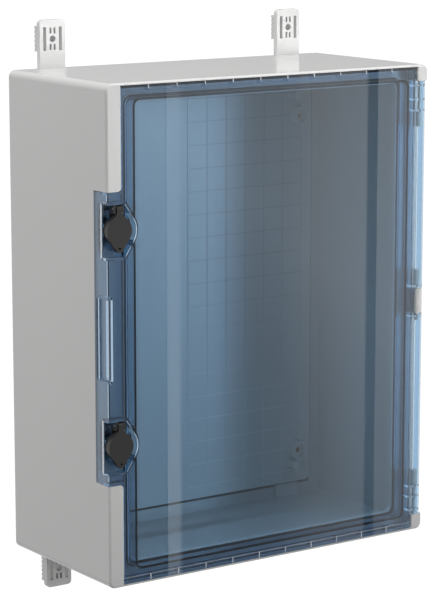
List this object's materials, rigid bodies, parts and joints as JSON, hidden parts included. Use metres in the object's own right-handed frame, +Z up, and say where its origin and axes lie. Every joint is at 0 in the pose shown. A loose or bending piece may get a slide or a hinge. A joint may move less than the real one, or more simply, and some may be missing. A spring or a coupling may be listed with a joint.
{
  "type": "hinged polycarbonate enclosure",
  "caption": "Wall-mounted plastic enclosure with a hinged tinted see-through door, quarter-turn locks under flip-up covers and wall brackets.",
  "frame": {"origin": "centre of the four wall screws, on the wall plane behind the brackets", "axes": "+X to the right as seen from in front of the door, +Y into the wall, +Z up; the door faces -Y"},
  "size_m": [0.396, 0.191, 0.599],
  "materials": {
    "base_plastic": "fine satin moulded light grey",
    "bracket_plastic": "satin light grey",
    "door_clear": "glossy blue-grey tinted clear plastic",
    "gasket_foam": "matt foam",
    "pin_plastic": "satin grey",
    "lock_black": "satin black",
    "cover_black": "fine satin near-black",
    "lock_metal": "zinc plated",
    "screw_steel": "zinc plated",
    "insert_brass": "machined"
  },
  "bodies": {
    "cabinet": {"base": "base_plastic", "gasket": "gasket_foam", "cam_cup_upper": "base_plastic", "cam_cup_lower": "base_plastic", "plate_inserts": "insert_brass", "bracket_top_left": "bracket_plastic", "bracket_top_right": "bracket_plastic", "bracket_bottom_left": "bracket_plastic", "bracket_bottom_right": "bracket_plastic", "bracket_screws": "screw_steel"},
    "door": {"door": "door_clear", "hinge_pin_top": "pin_plastic", "hinge_pin_middle": "pin_plastic", "hinge_pin_bottom": "pin_plastic", "lock_body_upper": "lock_black", "lock_nut_upper": "lock_metal", "cover_pin_upper": "screw_steel", "lock_body_lower": "lock_black", "lock_nut_lower": "lock_metal", "cover_pin_lower": "screw_steel"},
    "rotor_upper": {"lock_rotor_upper": "lock_metal", "lock_cam_upper": "lock_metal", "cam_screw_upper": "screw_steel"},
    "cover_upper": {"lock_cover_upper": "cover_black"},
    "rotor_lower": {"lock_rotor_lower": "lock_metal", "lock_cam_lower": "lock_metal", "cam_screw_lower": "screw_steel"},
    "cover_lower": {"lock_cover_lower": "cover_black"}
  },
  "joints": [
    {"name": "door_hinge", "type": "hinge", "parent": "cabinet", "child": "door", "pos_m": [0.1914, -0.185, 0], "axis": [0, 0, 1], "range_deg": [0, 180]},
    {"name": "lock_turn_upper", "type": "hinge", "parent": "door", "child": "rotor_upper", "pos_m": [-0.1835, -0.173, 0.1072], "axis": [0, 1, 0], "range_deg": [0, 90]},
    {"name": "cover_flip_upper", "type": "hinge", "parent": "door", "child": "cover_upper", "pos_m": [-0.1835, -0.1878, 0.1292], "axis": [-1, 0, 0], "range_deg": [0, 100]},
    {"name": "lock_turn_lower", "type": "hinge", "parent": "door", "child": "rotor_lower", "pos_m": [-0.1835, -0.173, -0.1072], "axis": [0, 1, 0], "range_deg": [0, 90]},
    {"name": "cover_flip_lower", "type": "hinge", "parent": "door", "child": "cover_lower", "pos_m": [-0.1835, -0.1878, -0.0852], "axis": [-1, 0, 0], "range_deg": [0, 100]}
  ]
}
